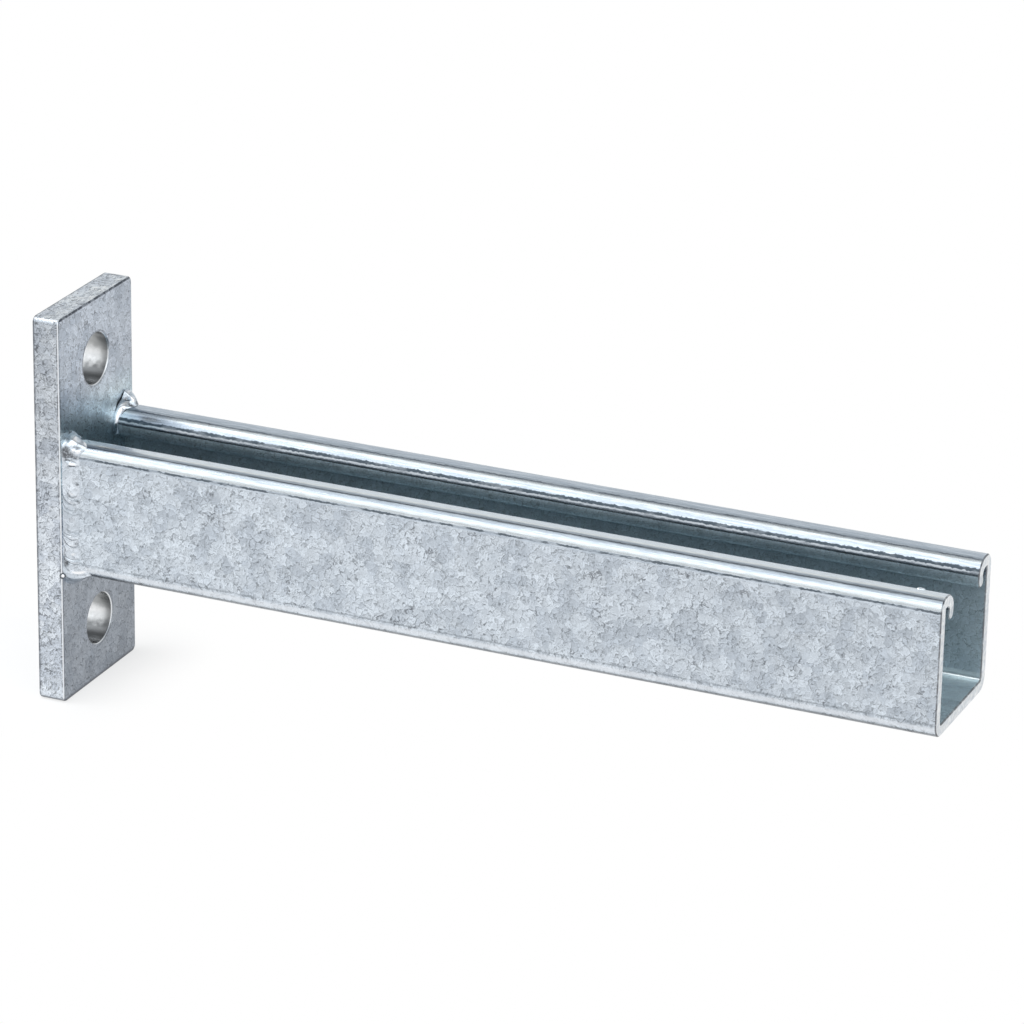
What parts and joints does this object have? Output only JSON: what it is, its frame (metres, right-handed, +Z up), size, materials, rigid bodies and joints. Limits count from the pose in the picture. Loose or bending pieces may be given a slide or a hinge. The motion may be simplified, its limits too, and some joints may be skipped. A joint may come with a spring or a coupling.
{
  "type": "cantilever strut arm",
  "caption": "Galvanised strut channel arm, slot upward, welded to an upright back plate with a bolt hole above and below it.",
  "frame": {"origin": "middle of the back plate's wall face", "axes": "+X out from the wall along the arm, +Y across the arm, +Z up, the way the slot opens"},
  "size_m": [0.276, 0.045, 0.119],
  "materials": {
    "galvanised_plate": "hot-dip zinc, spangled, dull",
    "galvanised_strut": "hot-dip zinc, spangled, satin",
    "galvanised_weld": "hot-dip zinc over a weld bead, bright"
  },
  "bodies": {
    "root": {"back_plate": "galvanised_plate", "strut_channel": "galvanised_strut", "left_side_weld": "galvanised_weld", "right_side_weld": "galvanised_weld", "base_weld": "galvanised_weld"}
  },
  "joints": []
}
